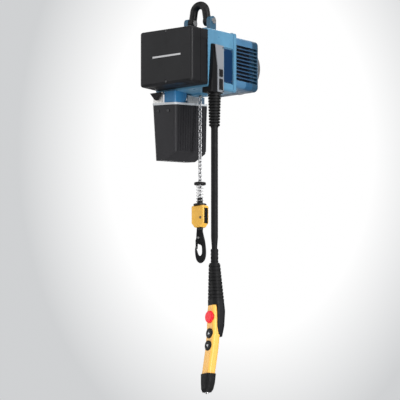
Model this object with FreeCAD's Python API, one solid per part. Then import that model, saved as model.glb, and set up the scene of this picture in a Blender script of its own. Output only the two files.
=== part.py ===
import FreeCAD, Part
import math
import os
from FreeCAD import Vector

# Electric chain hoist with a pinned suspension bracket, a chain bucket, a hook block and a
# hand pendant. Millimetres. +Z up, -Y towards the electrical cover, motor towards +Y.
# The origin is the inside top of the suspension bracket, where it hangs on a hook.

# ---- suspension
BAR_R = 13.0
CROWN_R = 25.0
EYE_X = 31.0
EYE_R = 15.0
EYE_HALF = 8.0
PIN_Z = -45.0
PIN_R = 7.0
LUG_R = 16.0
LUG_THICK = 15.0
LUG_GAP = 1.0

# ---- main casting
BODY_X = 109.0
BODY_FRONT = -97.0
BODY_BACK = 53.0
BODY_TOP = -88.0
BODY_BOTTOM = -286.0
WALL = 8.0
BACK_WALL = 12.0
BULKHEAD_Y = -76.0
BULKHEAD_THICK = 22.0

# ---- electrical cover
COVER_FRONT = -184.0
COVER_TOP = -98.0
COVER_BOTTOM = -279.0
COVER_WALL = 4.0
COVER_EDGE_R = 9.0
COVER_SEAM_Y = -137.0
GASKET = 2.0

# ---- motor
MOTOR_X = 92.0
MOTOR_TOP = -90.0
MOTOR_BOTTOM = -261.0
MOTOR_CAP_Y = 164.0
MOTOR_END = 199.0
MOTOR_AXIS_Z = -176.0
STATOR_R = 74.0
ROTOR_R = 38.0
CORE_END = 100.0
FIN_COUNT = 10
FIN_RISE = -2.3
FIN_PITCH = 12.2
FIN_GAP = 8.4
FIN_DEPTH = 13.0
COWL_R = 80.0
COWL_END = 228.0

# ---- chain drive: 4.2 x 12.2 mm chain on a five-pocket wheel, two spur gear stages
CHAIN_WIRE = 4.1
CHAIN_PITCH = 12.2
CHAIN_OUTER = 14.2
POCKETS = 5
WHEEL_PITCH_R = math.hypot(
    CHAIN_PITCH / (2 * math.sin(math.pi / (2 * POCKETS))),
    CHAIN_WIRE / (2 * math.cos(math.pi / (2 * POCKETS))),
)
WHEEL_Z = -215.0
MODULE_1 = 1.5
TEETH_1 = (14, 56)
MODULE_2 = 2.0
TEETH_2 = (13, 52)
STAGE_1_Y = (24.0, 38.0)
STAGE_2_Y = (-42.0, -24.0)
RUNNING_GAP = 0.05

# ---- load line
GUIDED_LINKS = 5
LOAD_LINKS = 34
SLACK_LINKS = 12
LEANING_LINKS = 6
SLACK_LEAN = math.radians(10)
STOP_PLATE_Z = (-591.0, -583.0)
STOP_PLATE_R = 19.5
SPRING_Z = (-655.0, -591.0)
SPRING_TURNS = 6
SPRING_R = 11.4
SPRING_WIRE_R = 0.9
CONE_TOP = -634.0
COLLAR_Z = (-661.0, -655.0)
BLOCK_TOP = -661.0
BLOCK_BOTTOM = -734.0
BLOCK_HALF_X = 25.5
BLOCK_HALF_Y = 15.5
BLOCK_SCREW_AT = (13.4, -703)
HOOK_SHANK_R = 6.0
HOOK_HALF_Y = 8.0
HOOK_TURN = 38.0
LATCH_PIVOT = (-6.0, -770.0)

# ---- chain bucket
BUCKET_TOP = -326.0
BUCKET_BOTTOM = -516.0
BUCKET_X = (-118.0, -20.0)
BUCKET_Y = (-108.0, 70.0)
BUCKET_DRAFT = 6.2
BUCKET_PITCH = 5.8
BUCKET_ROLL = 3.8
BUCKET_CHAMFER = 54.0
BUCKET_WALL = 3.0
RIM_HEIGHT = 7.0

# ---- supply gland on the left side, and control cable and pendant on the right
GLAND_AT = (-30.0, -150.0)
BOX_Y = (-94.0, -33.0)
CABLE_X = 105.0
CABLE_Y = -57.0
CABLE_R = 11.5
CABLE_TOP = -418.0
CABLE_END = -785.0
PENDANT_YAW = -16.0
FACE_Y = -19.0
SLEEVE_BACK = 6.0
GRIP_END_Y = -25.0
GRIP_END_Z = -1242.0
BUTTON_R = 14.0
COLLAR_R = 17.0
STEM_R = 5.0
POCKET_DEPTH = 3.6
STOP_R = 20.0
STOP_POCKET = 4.6
STOP_Z = -1052.0
UP_Z = -1107.0
DOWN_Z = -1148.0

PARTS = "parts"


# ---------------------------------------------------------------- small builders
def box(x, y, z):
    """A block from three (low, high) pairs."""
    return Part.makeBox(x[1] - x[0], y[1] - y[0], z[1] - z[0], Vector(x[0], y[0], z[0]))


def soft_box(x, y, z, radius, along="xyz"):
    """A block whose edges along the named axes are rounded."""
    solid = box(x, y, z)
    chosen = []
    for edge in solid.Edges:
        run = edge.Vertexes[1].Point - edge.Vertexes[0].Point
        axis = "x" if abs(run.x) > 1e-6 else ("y" if abs(run.y) > 1e-6 else "z")
        if axis in along:
            chosen.append(edge)
    return solid.makeFillet(radius, chosen)


def cyl(axis, centre, radius, low, high):
    """A cylinder along axis x, y or z; centre holds the other two coordinates in order."""
    if axis == "x":
        return Part.makeCylinder(radius, high - low, Vector(low, *centre), Vector(1, 0, 0))
    if axis == "y":
        base = Vector(centre[0], low, centre[1])
        return Part.makeCylinder(radius, high - low, base, Vector(0, 1, 0))
    return Part.makeCylinder(radius, high - low, Vector(centre[0], centre[1], low))


def cone(centre, r_low, r_high, low, high):
    return Part.makeCone(r_low, r_high, high - low, Vector(centre[0], centre[1], low))


def ring(axis, centre, r_in, r_out, low, high):
    outer = cyl(axis, centre, r_out, low, high)
    return outer.cut(cyl(axis, centre, r_in, low - 1, high + 1))


def plate_wire(centre, width, depth, radius, z):
    """A horizontal rounded rectangle."""
    half_w = width / 2
    half_d = depth / 2
    cx, cy = centre
    corners = [(1, -1, -90), (1, 1, 0), (-1, 1, 90), (-1, -1, 180)]
    edges = []
    last = None
    first = None
    for sx, sy, start in corners:
        mid = Vector(cx + sx * (half_w - radius), cy + sy * (half_d - radius), z)
        points = []
        for turn in (0, 45, 90):
            angle = math.radians(start + turn)
            points.append(mid + Vector(math.cos(angle), math.sin(angle), 0) * radius)
        if last is not None:
            edges.append(Part.LineSegment(last, points[0]).toShape())
        else:
            first = points[0]
        edges.append(Part.Arc(*points).toShape())
        last = points[2]
    edges.append(Part.LineSegment(last, first).toShape())
    return Part.Wire(edges)


def tower(sections):
    """A solid through rounded rectangles given as (centre, width, depth, radius, z)."""
    return Part.makeLoft([plate_wire(*section) for section in sections], True, True)


def slab(centre, width, depth, radius, low, high):
    face = Part.Face(plate_wire(centre, width, depth, radius, low))
    return face.extrude(Vector(0, 0, high - low))


def outline(points, y_low, y_high):
    """A solid between two Y planes from an (x, z) outline of straight runs."""
    corners = [Vector(x, y_low, z) for x, z in points]
    face = Part.Face(Part.makePolygon(corners + corners[:1]))
    return face.extrude(Vector(0, y_high - y_low, 0))


def fuse(shapes):
    result = shapes[0].multiFuse(shapes[1:]) if len(shapes) > 1 else shapes[0]
    return result.removeSplitter()


def cut(shape, tools):
    return shape.cut(tools)


def group(shapes):
    return Part.makeCompound(shapes)


def turned(shape, axis, angle, centre=Vector(0, 0, 0)):
    copy = shape.copy()
    copy.rotate(centre, axis, angle)
    return copy


def screw(axis, centre, low, high, r_head, r_shank, head_length, head_at_high):
    """A socket screw along an axis, with its head at the high or the low end."""
    shank = cyl(axis, centre, r_shank, low, high)
    if head_at_high:
        head = cyl(axis, centre, r_head, high - head_length, high)
        socket = cyl(axis, centre, r_head * 0.5, high - head_length * 0.6, high + 1)
    else:
        head = cyl(axis, centre, r_head, low, low + head_length)
        socket = cyl(axis, centre, r_head * 0.5, low - 1, low + head_length * 0.6)
    return shank.fuse(head).removeSplitter().cut(socket)


def save(name, shape):
    shape.exportStep(os.path.join(PARTS, name + ".step"))


# ---------------------------------------------------------------- suspension
def suspension_bracket():
    """A round bar bent to a pointed arch, with an eye at each foot."""
    crown = Vector(0, 0, BAR_R - CROWN_R)
    foot = Vector(EYE_X, 0, PIN_Z)
    away = foot - crown
    lean = math.atan2(away.z, away.x) + math.acos(CROWN_R / away.Length)
    touch = crown + Vector(math.cos(lean), 0, math.sin(lean)) * CROWN_R
    mirror = Vector(-touch.x, 0, touch.z)
    start = Vector(-foot.x, 0, foot.z)
    path = Part.Wire([
        Part.LineSegment(start, mirror).toShape(),
        Part.Arc(mirror, crown + Vector(0, 0, CROWN_R), touch).toShape(),
        Part.LineSegment(touch, foot).toShape(),
    ])
    section = Part.Wire(Part.makeCircle(BAR_R, start, mirror - start))
    bar = path.makePipeShell([section], True, False)
    eyes = []
    cuts = []
    for side in (-1, 1):
        low, high = sorted((side * (EYE_X - EYE_HALF), side * (EYE_X + EYE_HALF)))
        eyes.append(cyl("x", (0, PIN_Z), EYE_R, low, high))
        cuts.append(cyl("x", (0, PIN_Z), PIN_R + RUNNING_GAP, low - 12, high + 12))
        spot = sorted((side * 8, side * (EYE_X - EYE_HALF)))
        cuts.append(cyl("x", (0, PIN_Z), PIN_R + 4, *spot))
        outside = sorted((side * (EYE_X + EYE_HALF), side * 80))
        cuts.append(box(outside, (-40, 40), (-90, PIN_Z + LUG_R + 1)))
    return cut(fuse([bar] + eyes), cuts)


def suspension_pins():
    """A shouldered pin through each lug, with its head outside and a collar inside."""
    pins = []
    for side in (-1, 1):
        outer = EYE_X + EYE_HALF + LUG_GAP + LUG_THICK
        inner = EYE_X - EYE_HALF - LUG_GAP
        pins.append(fuse([
            cyl("x", (0, PIN_Z), PIN_R, *sorted((side * inner, side * outer))),
            cyl("x", (0, PIN_Z), PIN_R + 3, *sorted((side * outer, side * (outer + 5)))),
            cyl("x", (0, PIN_Z), PIN_R + 2.5, *sorted((side * (inner - 2), side * inner))),
        ]))
    return group(pins)


# ---------------------------------------------------------------- main casting
def gear_centres():
    """Motor, intermediate and wheel axes as (x, z), placed by their centre distances."""
    motor = (0.0, MOTOR_AXIS_Z)
    wheel = (-WHEEL_PITCH_R, WHEEL_Z)
    reach_1 = MODULE_1 * sum(TEETH_1) / 2
    reach_2 = MODULE_2 * sum(TEETH_2) / 2
    span = math.hypot(wheel[0] - motor[0], wheel[1] - motor[1])
    along = math.atan2(wheel[1] - motor[1], wheel[0] - motor[0])
    opening = math.acos((reach_1 ** 2 + span ** 2 - reach_2 ** 2) / (2 * reach_1 * span))
    angle = along - opening
    middle = (motor[0] + reach_1 * math.cos(angle), motor[1] + reach_1 * math.sin(angle))
    return motor, middle, wheel


def chain_passages(low, high):
    """Openings for the load strand at x = 0 and the slack strand on the wheel's other side."""
    return [
        box((-9, 9), (-9, 9), (low, high)),
        box((-2 * WHEEL_PITCH_R - 9, -2 * WHEEL_PITCH_R + 9), (-9, 9), (low, high)),
    ]


def gearbox_housing():
    motor, middle, wheel = gear_centres()
    body = soft_box((-BODY_X, BODY_X), (BODY_FRONT, BODY_BACK), (BODY_BOTTOM, BODY_TOP), 9, "y")
    rim = soft_box((-BODY_X - 2, BODY_X + 2), (BODY_BACK - 14, BODY_BACK),
                   (BODY_BOTTOM, BODY_TOP + 2), 9, "y")
    cavity = soft_box((-BODY_X + WALL, BODY_X - WALL), (BODY_FRONT - 1, BODY_BACK - BACK_WALL),
                      (BODY_BOTTOM + WALL, BODY_TOP - WALL), 6, "y")
    lugs = []
    for side in (-1, 1):
        inner = EYE_X + EYE_HALF + LUG_GAP
        low, high = sorted((side * inner, side * (inner + LUG_THICK)))
        eye = cyl("x", (0, PIN_Z), LUG_R, low, high)
        web = box((low, high), (-LUG_R, LUG_R), (BODY_TOP - 1, PIN_Z))
        lugs.append(eye.fuse(web))
    ribs = [box((x - 2, x + 2), (-60, -20), (BODY_TOP, BODY_TOP + 1.5)) for x in (-80, 80)]
    holes = chain_passages(BODY_BOTTOM - 5, BODY_BOTTOM + WALL + 1)
    for side in (-1, 1):
        holes.append(cyl("x", (0, PIN_Z), PIN_R, *sorted((side * 30, side * 70))))
    recess = soft_box((BODY_X - 5, BODY_X + 3), (-11, 38), (-262, -142), 2.5, "x")
    holes += [recess, turned(recess, Vector(0, 0, 1), 0).mirror(Vector(), Vector(1, 0, 0))]
    back = (BODY_BACK - BACK_WALL - 1, BODY_BACK + 1)
    holes.append(cyl("y", motor, 15, *back))
    holes.append(cyl("y", middle, 13, back[0], BODY_BACK - 3))
    holes.append(cyl("y", wheel, 14, back[0], BODY_BACK - 3))
    holes.append(cyl("x", GLAND_AT, 12, -BODY_X - 1, -BODY_X + WALL + 1))
    solid = fuse([body, rim]).cut(cavity)
    return cut(fuse([solid] + lugs + ribs), holes)


def bulkhead():
    """The gearbox cover: an inner plate that carries the front bearings."""
    middle, wheel = gear_centres()[1:]
    y = (BULKHEAD_Y, BULKHEAD_Y + BULKHEAD_THICK)
    plate = soft_box((-BODY_X + WALL, BODY_X - WALL), y, (BODY_BOTTOM + WALL, BODY_TOP - WALL),
                     6, "y")
    holes = [cyl("y", middle, 13, y[0] + 3, y[1] + 1), cyl("y", wheel, 14, y[0] + 3, y[1] + 1)]
    return cut(plate, holes)


def bearings():
    """Ball races drawn as plain rings, one at each end of each shaft."""
    motor, middle, wheel = gear_centres()
    front = (BULKHEAD_Y + 3, BULKHEAD_Y + BULKHEAD_THICK)
    back = (BODY_BACK - BACK_WALL, BODY_BACK - 3)
    rings = []
    for span in (front, back):
        rings.append(ring("y", middle, 6 + RUNNING_GAP, 13, *span))
        rings.append(ring("y", wheel, 8 + RUNNING_GAP, 14, *span))
    rings.append(ring("y", motor, 7 + RUNNING_GAP, 15, BODY_BACK - BACK_WALL, BODY_BACK))
    return group(rings)


def side_plate():
    plate = soft_box((BODY_X - 5, BODY_X - 2), (-9, 36), (-258, -146), 2, "x")
    notches = []
    for y in (-5, 32):
        for z in (-252, -152):
            notches.append(cyl("x", (y, z), 2, BODY_X - 3.5, BODY_X))
    return cut(plate, notches)


# ---------------------------------------------------------------- electrical compartment
def electrical_cover():
    outer = box((-BODY_X, BODY_X), (COVER_FRONT, BODY_FRONT - GASKET),
                (COVER_BOTTOM, COVER_TOP + 4))
    front = [e for e in outer.Edges if e.BoundBox.YMax < COVER_FRONT + 1]
    runs = [e for e in outer.Edges if e.BoundBox.YLength > 10]
    outer = outer.makeFillet(COVER_EDGE_R, front + runs)
    inner = soft_box((-BODY_X + COVER_WALL, BODY_X - COVER_WALL),
                     (COVER_FRONT + COVER_WALL, BODY_FRONT),
                     (COVER_BOTTOM + COVER_WALL, COVER_TOP + 4 - COVER_WALL), 5, "y")
    seam_outer = box((-BODY_X - 1, BODY_X + 1), (COVER_SEAM_Y - 0.8, COVER_SEAM_Y + 0.8),
                     (COVER_BOTTOM - 1, COVER_TOP + 6))
    seam_inner = soft_box((-BODY_X + 1.2, BODY_X - 1.2), (COVER_SEAM_Y - 2, COVER_SEAM_Y + 2),
                          (COVER_BOTTOM + 1.2, COVER_TOP + 2.8), 7, "y")
    seam = seam_outer.cut(seam_inner)
    slots = []
    for side in (-1, 1):
        low, high = sorted((side * (BODY_X - 1.5), side * (BODY_X + 1)))
        slots.append(box((low, high), (-131, -103), (-262, -128)))
    for z in (COVER_TOP - 3, COVER_BOTTOM + 8):
        slots.append(cyl("y", (0, z), 4.2, COVER_FRONT - 1, COVER_FRONT + 2.5))
        slots.append(box((-2.5, 2.5), (COVER_FRONT - 1, COVER_FRONT + 1.2), (z - 9, z + 9)))
    return cut(outer, [inner, seam] + slots)


def cover_screws():
    screws = []
    for z in (COVER_TOP - 3, COVER_BOTTOM + 8):
        body = cyl("y", (0, z), 3.6, COVER_FRONT + 0.8, COVER_FRONT + 2.5)
        slot = box((-3, 3), (COVER_FRONT, COVER_FRONT + 1.6), (z - 0.6, z + 0.6))
        screws.append(body.cut(slot))
    return group(screws + panel_screws() + bucket_screws())


def cover_gasket():
    z = (COVER_BOTTOM, COVER_TOP + 4)
    outer = soft_box((-BODY_X + 1, BODY_X - 1), (BODY_FRONT - GASKET, BODY_FRONT), z, 7, "y")
    inner = soft_box((-BODY_X + 7, BODY_X - 7), (BODY_FRONT - GASKET - 1, BODY_FRONT + 1),
                     (z[0] + 7, z[1] - 7), 4, "y")
    return outer.cut(inner)


def electrics_plate():
    """The mounting plate that closes the casting behind the electrical cover."""
    return soft_box((-BODY_X + WALL, BODY_X - WALL), (BODY_FRONT, BODY_FRONT + 4),
                    (BODY_BOTTOM + WALL, BODY_TOP - WALL), 6, "y")


def control_board():
    board = box((-95, 20), (-107, -105), (-176, -112))
    feet = [cyl("y", (x, z), 3, -105, BODY_FRONT) for x in (-88, 12) for z in (-169, -119)]
    chips = [box((x, x + 16), (-112, -107), (z, z + 12)) for x in (-80, -40) for z in (-160, -138)]
    return group([fuse([board] + feet + chips)] + contactors())


def contactors():
    blocks = []
    for z in (-262, -206, -150):
        body = soft_box((38, 88), (-160, BODY_FRONT), (z, z + 46), 3, "y")
        step = box((46, 80), (-168, -160), (z + 10, z + 36))
        blocks.append(body.fuse(step))
    return blocks


def transformer():
    """The heavy control transformer, which balances the motor about the suspension pins."""
    core = box((-92, 22), (-170, BODY_FRONT), (-266, -182))
    window = box((-66, -6), (-171, BODY_FRONT + 1), (-244, -204))
    coil = soft_box((-72, 0), (-175, BODY_FRONT - 8), (-250, -198), 4, "y")
    return core.cut(window).fuse(coil)


# ---------------------------------------------------------------- motor
def fin_grooves(y_low, y_high):
    grooves = []
    first = MOTOR_AXIS_Z + FIN_RISE - FIN_PITCH * (FIN_COUNT - 1) / 2
    for index in range(FIN_COUNT):
        z = first + index * FIN_PITCH
        for side in (-1, 1):
            low, high = sorted((side * (MOTOR_X - FIN_DEPTH), side * (MOTOR_X + 5)))
            grooves.append(box((low, high), (y_low, y_high), (z - FIN_GAP / 2, z + FIN_GAP / 2)))
    return grooves


def motor_housing():
    outer = soft_box((-MOTOR_X, MOTOR_X), (BODY_BACK, MOTOR_CAP_Y), (MOTOR_BOTTOM, MOTOR_TOP),
                     16, "y")
    bore = cyl("y", (0, MOTOR_AXIS_Z), STATOR_R, BODY_BACK - 1, MOTOR_CAP_Y + 1)
    return cut(outer, [bore] + fin_grooves(BODY_BACK + 6, MOTOR_CAP_Y + 1))


def motor_end_cap():
    outer = box((-MOTOR_X, MOTOR_X), (MOTOR_CAP_Y, MOTOR_END), (MOTOR_BOTTOM, MOTOR_TOP))
    runs = [e for e in outer.Edges if e.BoundBox.YLength > 10]
    outer = outer.makeFillet(16, runs)
    back = [e for e in outer.Edges if e.BoundBox.YMin > MOTOR_END - 0.1]
    outer = outer.makeFillet(7, back)
    bore = cyl("y", (0, MOTOR_AXIS_Z), STATOR_R, MOTOR_CAP_Y - 1, MOTOR_END - 8)
    shaft = cyl("y", (0, MOTOR_AXIS_Z), 7 + RUNNING_GAP, MOTOR_CAP_Y, MOTOR_END + 1)
    return cut(outer, [bore, shaft] + fin_grooves(MOTOR_CAP_Y - 1, MOTOR_END - 10))


def fan_cowl():
    """A domed cowl with an air grille of concentric slots and a rim of small ribs."""
    centre = (0, MOTOR_AXIS_Z)
    outer = cyl("y", centre, COWL_R, MOTOR_END, COWL_END)
    edge = [e for e in outer.Edges if e.BoundBox.YMin > COWL_END - 0.1]
    outer = outer.makeFillet(9, edge)
    inner = cyl("y", centre, COWL_R - 3, MOTOR_END - 1, COWL_END - 8)
    dome = cyl("y", centre, COWL_R - 12, MOTOR_END, COWL_END - 3)
    slots = []
    for radius in (22, 34, 46, 58):
        slots.append(ring("y", centre, radius, radius + 6, COWL_END - 5, COWL_END + 1))
    spokes = []
    for index in range(8):
        bar = box((12, COWL_R - 14), (COWL_END - 3, COWL_END), (-3, 3))
        bar = turned(bar, Vector(0, 1, 0), index * 45)
        bar.translate(Vector(0, 0, MOTOR_AXIS_Z))
        spokes.append(bar)
    shell = cut(outer, [inner, dome] + slots)
    return fuse([shell] + spokes)


def stator():
    core = ring("y", (0, MOTOR_AXIS_Z), ROTOR_R + 1, STATOR_R, BODY_BACK + 18, CORE_END)
    ends = [
        ring("y", (0, MOTOR_AXIS_Z), ROTOR_R + 8, STATOR_R - 8, low, high)
        for low, high in ((BODY_BACK + 6, BODY_BACK + 18), (CORE_END, CORE_END + 12))
    ]
    brake_coil = ring("y", (0, MOTOR_AXIS_Z), 24, 46, 150, 166)
    return group([fuse([core] + ends), brake_coil])


# ---------------------------------------------------------------- gears
def gear(centre, module, teeth, span, tooth_at, bore):
    """A spur gear about +Y with involute flanks; one tooth points along tooth_at (radians)."""
    pitch_r = module * teeth / 2
    base_r = pitch_r * math.cos(math.radians(20))
    tip_r = pitch_r + module
    root_r = pitch_r - 1.25 * module
    backlash = 0.12
    half = math.pi / (2 * teeth) - backlash / (2 * pitch_r)
    pitch_roll = math.tan(math.acos(base_r / pitch_r)) - math.acos(base_r / pitch_r)
    steps = 4
    flank = []
    for index in range(steps + 1):
        radius = max(base_r, root_r) + (tip_r - max(base_r, root_r)) * index / steps
        roll = math.acos(min(1, base_r / radius))
        flank.append((radius, half + pitch_roll - (math.tan(roll) - roll)))
    points = []
    for tooth in range(teeth):
        middle = tooth_at + 2 * math.pi * tooth / teeth
        profile = [(root_r, -flank[0][1])] if root_r < base_r else []
        profile += [(r, -a) for r, a in flank]
        profile += [(r, a) for r, a in reversed(flank)]
        profile += [(root_r, flank[0][1])] if root_r < base_r else []
        for radius, angle in profile:
            x = centre[0] + radius * math.cos(middle + angle)
            z = centre[1] + radius * math.sin(middle + angle)
            points.append((x, z))
    blank = outline(points, *span)
    return blank.cut(cyl("y", centre, bore, span[0] - 1, span[1] + 1)) if bore else blank


def direction(start, end):
    return math.atan2(end[1] - start[1], end[0] - start[0])


def motor_rotor():
    motor, middle = gear_centres()[:2]
    shaft = cyl("y", motor, 7, STAGE_1_Y[1] + 2, MOTOR_END + 8)
    nose = cyl("y", motor, 5, STAGE_1_Y[0], STAGE_1_Y[1] + 2)
    core = cyl("y", motor, ROTOR_R, BODY_BACK + 20, CORE_END - 2)
    pinion = gear(motor, MODULE_1, TEETH_1[0], STAGE_1_Y, direction(motor, middle), 0)
    return group([fuse([shaft, nose, core, pinion]), brake_disc()])


def brake_disc():
    return ring("y", (0, MOTOR_AXIS_Z), 7, 48, 142, 147)


def fan_wheel():
    centre = (0, MOTOR_AXIS_Z)
    hub = ring("y", centre, 7, 16, MOTOR_END + 1, MOTOR_END + 8)
    disc = ring("y", centre, 7, 60, MOTOR_END + 1, MOTOR_END + 3)
    blades = []
    for index in range(9):
        blade = box((14, 60), (MOTOR_END + 3, MOTOR_END + 8), (-1.2, 1.2))
        blade = turned(blade, Vector(0, 1, 0), index * 40)
        blade.translate(Vector(0, 0, MOTOR_AXIS_Z))
        blades.append(blade)
    return fuse([hub, disc] + blades)


def intermediate_gear():
    motor, middle, wheel = gear_centres()
    shaft = cyl("y", middle, 6, BULKHEAD_Y + 4, BODY_BACK - 4)
    gap_to_motor = direction(middle, motor) + math.pi / TEETH_1[1]
    large = gear(middle, MODULE_1, TEETH_1[1], STAGE_1_Y, gap_to_motor, 0)
    small = gear(middle, MODULE_2, TEETH_2[0], STAGE_2_Y, direction(middle, wheel), 0)
    return fuse([shaft, large, small])


def output_gear():
    middle, wheel = gear_centres()[1:]
    gap_to_middle = direction(wheel, middle) + math.pi / TEETH_2[1]
    disc = gear(wheel, MODULE_2, TEETH_2[1], (STAGE_2_Y[0] + 2, STAGE_2_Y[1] - 2), gap_to_middle, 0)
    shaft = cyl("y", wheel, 8, BULKHEAD_Y + 4, BODY_BACK - 4)
    return fuse([disc, shaft])


# ---------------------------------------------------------------- chain
def link(centre, across, upright=Vector(0, 0, 1)):
    """One chain link standing along upright, its flat lying in the plane of across."""
    bend_r = (CHAIN_OUTER - CHAIN_WIRE) / 2
    half = CHAIN_PITCH / 2 + CHAIN_WIRE / 2 - bend_r
    r = (CHAIN_WIRE - 0.2) / 2
    torus = Part.makeTorus(bend_r, r)
    upper = torus.common(Part.makeBox(40, 20, 20, Vector(-20, 0, -10)))
    upper.translate(Vector(0, half, 0))
    lower = torus.common(Part.makeBox(40, 20, 20, Vector(-20, -20, -10)))
    lower.translate(Vector(0, -half, 0))
    pieces = [upper, lower]
    for side in (-1, 1):
        base = Vector(side * bend_r, -half, 0)
        pieces.append(Part.makeCylinder(r, 2 * half, base, Vector(0, 1, 0)))
    solid = fuse(pieces)
    normal = across.cross(upright)
    frame = FreeCAD.Matrix(
        across.x, upright.x, normal.x, centre.x,
        across.y, upright.y, normal.y, centre.y,
        across.z, upright.z, normal.z, centre.z,
        0, 0, 0, 1,
    )
    return solid.transformShape(frame, True)


def strand(x, first, last, turn):
    """A straight run of links below the wheel, each turned a quarter from the one before."""
    links = []
    for index in range(first, last + 1):
        across = Vector(0, 1, 0) if (index + turn) % 2 else Vector(1, 0, 0)
        links.append(link(Vector(x, 0, WHEEL_Z - CHAIN_PITCH * index), across))
    return links


def load_chain():
    return group(strand(0, GUIDED_LINKS + 1, LOAD_LINKS, 0))


def wheel_link_angles():
    """Link centres around the upper half of the pocket wheel, two links to each pocket."""
    step = math.pi / POCKETS
    return [(index, index * step) for index in range(POCKETS + 1)]


def chain_over_wheel():
    links = []
    for index, angle in wheel_link_angles():
        radial = Vector(math.cos(angle), 0, math.sin(angle))
        centre = Vector(-WHEEL_PITCH_R, 0, WHEEL_Z) + radial * WHEEL_PITCH_R
        tangent = Vector(-math.sin(angle), 0, math.cos(angle))
        across = Vector(0, 1, 0) if index % 2 else radial
        links.append(link(centre, across, tangent))
    links += strand(0, 1, GUIDED_LINKS, 0)
    links += strand(-2 * WHEEL_PITCH_R, 1, SLACK_LINKS, POCKETS)
    upright = Vector(math.sin(SLACK_LEAN), 0, math.cos(SLACK_LEAN))
    sideways = Vector(math.cos(SLACK_LEAN), 0, -math.sin(SLACK_LEAN))
    hang = Vector(-2 * WHEEL_PITCH_R, 0, WHEEL_Z - CHAIN_PITCH * SLACK_LINKS)
    for index in range(1, LEANING_LINKS + 1):
        across = Vector(0, 1, 0) if (SLACK_LINKS + index + POCKETS) % 2 else sideways
        links.append(link(hang - upright * CHAIN_PITCH * index, across, upright))
    return group(links)


def pocket_wheel():
    """A round wheel with a groove for the upright links and pockets for the flat ones."""
    wheel = (-WHEEL_PITCH_R, WHEEL_Z)
    body = cyl("y", wheel, WHEEL_PITCH_R + 2.6, -11, 11)
    groove = ring("y", wheel, WHEEL_PITCH_R - 9.6, WHEEL_PITCH_R + 6, -3.2, 3.2)
    pockets = []
    step = 2 * math.pi / POCKETS
    for index in range(POCKETS):
        angle = math.pi / POCKETS + index * step
        pocket = box((WHEEL_PITCH_R - 4.5, WHEEL_PITCH_R + 8), (-8.5, 8.5), (-10.4, 10.4))
        pocket = turned(pocket, Vector(0, 1, 0), -math.degrees(angle))
        pocket.translate(Vector(wheel[0], 0, wheel[1]))
        pockets.append(pocket)
    return cut(body, [groove, cyl("y", wheel, 8, -12, 12)] + pockets)


def chain_guide():
    """The guide under the casting that leads both strands."""
    z = (BODY_BOTTOM - 6, BODY_BOTTOM)
    plate = soft_box((-2 * WHEEL_PITCH_R - 18, 20), (-18, 18), z, 6, "z")
    return cut(plate, chain_passages(z[0] - 1, z[1] + 1))


def stored_chain():
    """The slack end of the chain, lying in rows in the bucket."""
    links = []
    for layer in range(2):
        for row in range(4):
            for column in range(5):
                x = -92 + row * 15.5
                y = -60 + column * 24
                floor_rise = max(0, (x + 7 - BUCKET_X[1] + BUCKET_CHAMFER) * 28 / 48.7)
                z = BUCKET_BOTTOM + BUCKET_WALL + 3.5 + floor_rise + layer * 5
                links.append(link(Vector(x, y, z), Vector(1, 0, 0), Vector(0, 1, 0)))
    return hang_bucket(group(links))


# ---------------------------------------------------------------- bucket and its supports
def hang_bucket(shape):
    """Set a bucket piece at its hanging angle, up at the back and on the left."""
    placed = shape.copy()
    corner = Vector(BUCKET_X[1], BUCKET_Y[0], BUCKET_TOP)
    placed.rotate(corner, Vector(1, 0, 0), BUCKET_PITCH)
    placed.rotate(corner, Vector(0, 1, 0), BUCKET_ROLL)
    return placed


def bucket_space():
    """The space the hung bucket and its rim take up, which the supports stay clear of."""
    return hang_bucket(box((-300, 100), (-200, 200), (-700, BUCKET_TOP + 0.1)))


def bucket_section(z, inset):
    """The bucket's plan outline at height z, pulled in by inset all round."""
    down = (BUCKET_TOP - z) / (BUCKET_TOP - BUCKET_BOTTOM)
    draft = BUCKET_DRAFT * down
    centre = (sum(BUCKET_X) / 2, sum(BUCKET_Y) / 2)
    width = BUCKET_X[1] - BUCKET_X[0] - 2 * draft - 2 * inset
    depth = BUCKET_Y[1] - BUCKET_Y[0] - 2 * draft - 2 * inset
    return centre, width, depth, 10 - inset, z


def chain_bucket():
    rim_z = BUCKET_TOP - RIM_HEIGHT
    outer = tower([bucket_section(BUCKET_BOTTOM, 0), bucket_section(rim_z, 0)])
    floor_z = BUCKET_BOTTOM + BUCKET_WALL
    inner = tower([bucket_section(floor_z, BUCKET_WALL), bucket_section(rim_z + 1, BUCKET_WALL)])
    x_right = BUCKET_X[1]
    slope = ((x_right - 5.3, -488), (x_right - BUCKET_CHAMFER, BUCKET_BOTTOM))
    off = [slope[0], (x_right + 5, -488), (x_right + 5, -530), (x_right - BUCKET_CHAMFER, -530), slope[1]]
    rise = BUCKET_WALL + 0.5
    keep = [(x, z + rise) for x, z in off]
    shell = outer.cut(outline(off, *spread(BUCKET_Y, 10)))
    shell = shell.cut(inner.cut(outline(keep, *spread(BUCKET_Y, 10))))
    ribs = []
    for index in range(12):
        y = BUCKET_Y[0] + 20 + index * 13
        rib = [
            (x_right - 3, rim_z - 4), (x_right + 0.8, rim_z - 4),
            (x_right - 4.2, -484), (x_right - 8.2, -484),
        ]
        ribs.append(outline(rib, y, y + 5))
    hollow = inner.cut(outline(keep, *spread(BUCKET_Y, 10)))
    return hang_bucket(fuse([shell] + ribs).cut(hollow)).cut(bucket_screws())


def spread(span, amount):
    return span[0] - amount, span[1] + amount


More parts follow.
